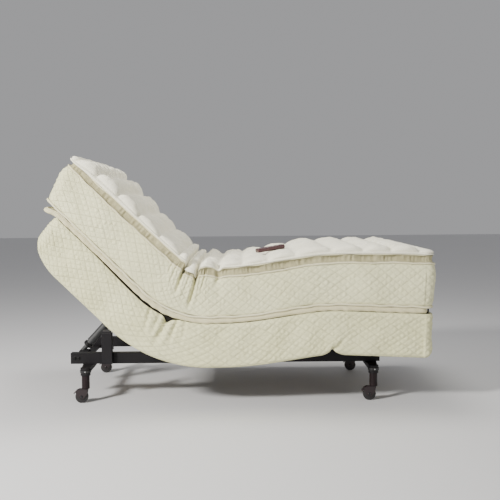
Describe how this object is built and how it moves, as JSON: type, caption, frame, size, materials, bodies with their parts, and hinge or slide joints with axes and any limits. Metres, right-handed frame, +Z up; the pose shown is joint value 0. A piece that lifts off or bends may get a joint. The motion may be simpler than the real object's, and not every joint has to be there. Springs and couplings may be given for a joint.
{
  "type": "adjustable bed base",
  "caption": "Twin adjustable bed on casters: hinged upholstered deck sections with a quilted, tufted mattress, raised at the head and knees by two electric actuators.",
  "frame": {"origin": "on the floor, under the middle of the whole bed's bounding box in the raised pose", "axes": "+X along the bed toward the foot, +Y across the bed toward its far side as seen in the picture, +Z up"},
  "size_m": [1.8938, 0.965, 1.2153],
  "materials": {
    "quilted_cover": "cream diamond-quilted cover over foam and a wood edge frame",
    "mattress_cover": "cream quilted ticking with a whiter tufted top",
    "plywood": "raw sanded plywood",
    "bright_steel": "zinc-bright",
    "actuator_plastic": "fine-textured grey-green",
    "leg_paint": "satin dark brown",
    "wheel_rubber": "matte tread",
    "bumper_rubber": "matte",
    "caster_plastic": "satin dark brown",
    "handset_plastic": "satin burgundy brown",
    "button_rubber": "soft matte",
    "painted_steel": "satin charcoal"
  },
  "bodies": {
    "under_frame": {"side_rail_near": "painted_steel", "side_rail_far": "painted_steel", "head_cross_member": "painted_steel", "middle_cross_member": "painted_steel", "foot_cross_member": "painted_steel", "leg_bracket_head_near": "painted_steel", "leg_bracket_head_far": "painted_steel", "leg_bracket_foot_near": "painted_steel", "leg_bracket_foot_far": "painted_steel", "leg_head_near": "leg_paint", "leg_head_far": "leg_paint", "leg_foot_near": "leg_paint", "leg_foot_far": "leg_paint", "support_post_near": "painted_steel", "support_post_far": "painted_steel", "post_bumper_near": "bumper_rubber", "post_bumper_far": "bumper_rubber", "control_box": "actuator_plastic", "seat_deck_frame": "painted_steel", "seat_deck": "plywood", "seat_foundation": "quilted_cover", "mattress_seat": "mattress_cover", "hip_shaft": "bright_steel", "thigh_shaft": "bright_steel"},
    "back_section": {"back_deck_frame": "painted_steel", "back_deck": "plywood", "back_foundation": "quilted_cover", "mattress_back": "mattress_cover"},
    "thigh_section": {"thigh_deck_frame": "painted_steel", "thigh_deck": "plywood", "thigh_foundation": "quilted_cover", "mattress_thigh": "mattress_cover", "knee_shaft": "bright_steel"},
    "foot_section": {"foot_deck_frame": "painted_steel", "foot_deck": "plywood", "foot_foundation": "quilted_cover", "mattress_foot": "mattress_cover", "mattress_retainer": "painted_steel"},
    "foot_link": {"foot_link": "painted_steel"},
    "head_actuator": {"head_actuator_motor": "actuator_plastic"},
    "head_rod": {"head_actuator_rod": "bright_steel"},
    "leg_actuator": {"leg_actuator_motor": "actuator_plastic"},
    "leg_rod": {"leg_actuator_rod": "bright_steel"},
    "caster_head_near": {"caster_head_near_fork": "caster_plastic"},
    "caster_head_near_wheel": {"caster_head_near_wheel": "wheel_rubber"},
    "caster_head_near_brake": {"caster_head_near_brake": "caster_plastic"},
    "caster_head_far": {"caster_head_far_fork": "caster_plastic"},
    "caster_head_far_wheel": {"caster_head_far_wheel": "wheel_rubber"},
    "caster_head_far_brake": {"caster_head_far_brake": "caster_plastic"},
    "caster_foot_near": {"caster_foot_near_fork": "caster_plastic"},
    "caster_foot_near_wheel": {"caster_foot_near_wheel": "wheel_rubber"},
    "caster_foot_near_brake": {"caster_foot_near_brake": "caster_plastic"},
    "caster_foot_far": {"caster_foot_far_fork": "caster_plastic"},
    "caster_foot_far_wheel": {"caster_foot_far_wheel": "wheel_rubber"},
    "caster_foot_far_brake": {"caster_foot_far_brake": "caster_plastic"},
    "handset": {"handset": "handset_plastic"},
    "handset_button_1": {"handset_button_1": "button_rubber"},
    "handset_button_2": {"handset_button_2": "button_rubber"},
    "handset_button_3": {"handset_button_3": "button_rubber"},
    "handset_button_4": {"handset_button_4": "button_rubber"}
  },
  "joints": [
    {"name": "back_hinge", "type": "hinge", "parent": "under_frame", "child": "back_section", "pos_m": [-0.3463, 0, 0.363], "axis": [0, 1, 0], "range_deg": [-44.5, 10.5]},
    {"name": "thigh_hinge", "type": "hinge", "parent": "under_frame", "child": "thigh_section", "pos_m": [0.0261, 0, 0.363], "axis": [0, -1, 0], "range_deg": [-8.5, 26.5]},
    {"name": "foot_hinge", "type": "hinge", "parent": "thigh_section", "child": "foot_section", "pos_m": [0.42171, 0, 0.42212], "axis": [0, -1, 0], "range_deg": [-34.4, 11.1]},
    {"name": "foot_link_pivot", "type": "hinge", "parent": "under_frame", "child": "foot_link", "pos_m": [0.3987, 0, 0.308], "axis": [0, -1, 0], "range_deg": [-10.5, 32.6]},
    {"name": "head_actuator_pivot", "type": "hinge", "parent": "under_frame", "child": "head_actuator", "pos_m": [-0.84, 0, 0.19], "axis": [0, -1, 0], "range_deg": [-17.2, 4.2]},
    {"name": "head_rod_slide", "type": "slide", "parent": "head_actuator", "child": "head_rod", "axis": [0.682, 0, 0.7314], "range_m": [-0.1615, 0.0385]},
    {"name": "leg_actuator_pivot", "type": "hinge", "parent": "under_frame", "child": "leg_actuator", "pos_m": [-0.285, 0, 0.215], "axis": [0, -1, 0], "range_deg": [-2.8, 8.4]},
    {"name": "leg_rod_slide", "type": "slide", "parent": "leg_actuator", "child": "leg_rod", "axis": [0.9889, 0, 0.1486], "range_m": [-0.0125, 0.0386]},
    {"name": "caster_head_near_swivel", "type": "hinge", "parent": "under_frame", "child": "caster_head_near", "pos_m": [-0.75, -0.355, 0.09], "axis": [0, 0, 1], "continuous": true},
    {"name": "caster_head_near_roll", "type": "hinge", "parent": "caster_head_near", "child": "caster_head_near_wheel", "pos_m": [-0.77, -0.355, 0.0318], "axis": [0, 1, 0], "continuous": true},
    {"name": "caster_head_near_brake_pedal", "type": "hinge", "parent": "caster_head_near", "child": "caster_head_near_brake", "pos_m": [-0.7935, -0.355, 0.0603], "axis": [0, -1, 0], "range_deg": [0, 12]},
    {"name": "caster_head_far_swivel", "type": "hinge", "parent": "under_frame", "child": "caster_head_far", "pos_m": [-0.75, 0.355, 0.09], "axis": [0, 0, 1], "continuous": true},
    {"name": "caster_head_far_roll", "type": "hinge", "parent": "caster_head_far", "child": "caster_head_far_wheel", "pos_m": [-0.77, 0.355, 0.0318], "axis": [0, 1, 0], "continuous": true},
    {"name": "caster_head_far_brake_pedal", "type": "hinge", "parent": "caster_head_far", "child": "caster_head_far_brake", "pos_m": [-0.7935, 0.355, 0.0603], "axis": [0, -1, 0], "range_deg": [0, 12]},
    {"name": "caster_foot_near_swivel", "type": "hinge", "parent": "under_frame", "child": "caster_foot_near", "pos_m": [0.67, -0.355, 0.09], "axis": [0, 0, 1], "continuous": true},
    {"name": "caster_foot_near_roll", "type": "hinge", "parent": "caster_foot_near", "child": "caster_foot_near_wheel", "pos_m": [0.65, -0.355, 0.0318], "axis": [0, 1, 0], "continuous": true},
    {"name": "caster_foot_near_brake_pedal", "type": "hinge", "parent": "caster_foot_near", "child": "caster_foot_near_brake", "pos_m": [0.6265, -0.355, 0.0603], "axis": [0, -1, 0], "range_deg": [0, 12]},
    {"name": "caster_foot_far_swivel", "type": "hinge", "parent": "under_frame", "child": "caster_foot_far", "pos_m": [0.67, 0.355, 0.09], "axis": [0, 0, 1], "continuous": true},
    {"name": "caster_foot_far_roll", "type": "hinge", "parent": "caster_foot_far", "child": "caster_foot_far_wheel", "pos_m": [0.65, 0.355, 0.0318], "axis": [0, 1, 0], "continuous": true},
    {"name": "caster_foot_far_brake_pedal", "type": "hinge", "parent": "caster_foot_far", "child": "caster_foot_far_brake", "pos_m": [0.6265, 0.355, 0.0603], "axis": [0, -1, 0], "range_deg": [0, 12]},
    {"name": "handset_lift", "type": "slide", "parent": "thigh_section", "child": "handset", "axis": [-0.1478, 0, 0.989], "range_m": [0, 0.25]},
    {"name": "button_1_press", "type": "slide", "parent": "handset", "child": "handset_button_1", "axis": [0.1478, 0, -0.989], "range_m": [0, 0.0012], "stiffness_N_per_m": 300, "springref_m": -0.0008},
    {"name": "button_2_press", "type": "slide", "parent": "handset", "child": "handset_button_2", "axis": [0.1478, 0, -0.989], "range_m": [0, 0.0012], "stiffness_N_per_m": 300, "springref_m": -0.0008},
    {"name": "button_3_press", "type": "slide", "parent": "handset", "child": "handset_button_3", "axis": [0.1478, 0, -0.989], "range_m": [0, 0.0012], "stiffness_N_per_m": 300, "springref_m": -0.0008},
    {"name": "button_4_press", "type": "slide", "parent": "handset", "child": "handset_button_4", "axis": [0.1478, 0, -0.989], "range_m": [0, 0.0012], "stiffness_N_per_m": 300, "springref_m": -0.0008}
  ],
  "couplings": [
    {"joint": "foot_hinge", "follows": "thigh_hinge", "ratio": -1.2941},
    {"joint": "foot_link_pivot", "follows": "thigh_hinge", "ratio": 1.2235},
    {"joint": "head_actuator_pivot", "follows": "back_hinge", "ratio": 0.3821},
    {"joint": "head_rod_slide", "follows": "back_hinge", "m_per_rad": 0.2076},
    {"joint": "leg_actuator_pivot", "follows": "thigh_hinge", "ratio": 0.3098},
    {"joint": "leg_rod_slide", "follows": "thigh_hinge", "m_per_rad": 0.0828}
  ]
}
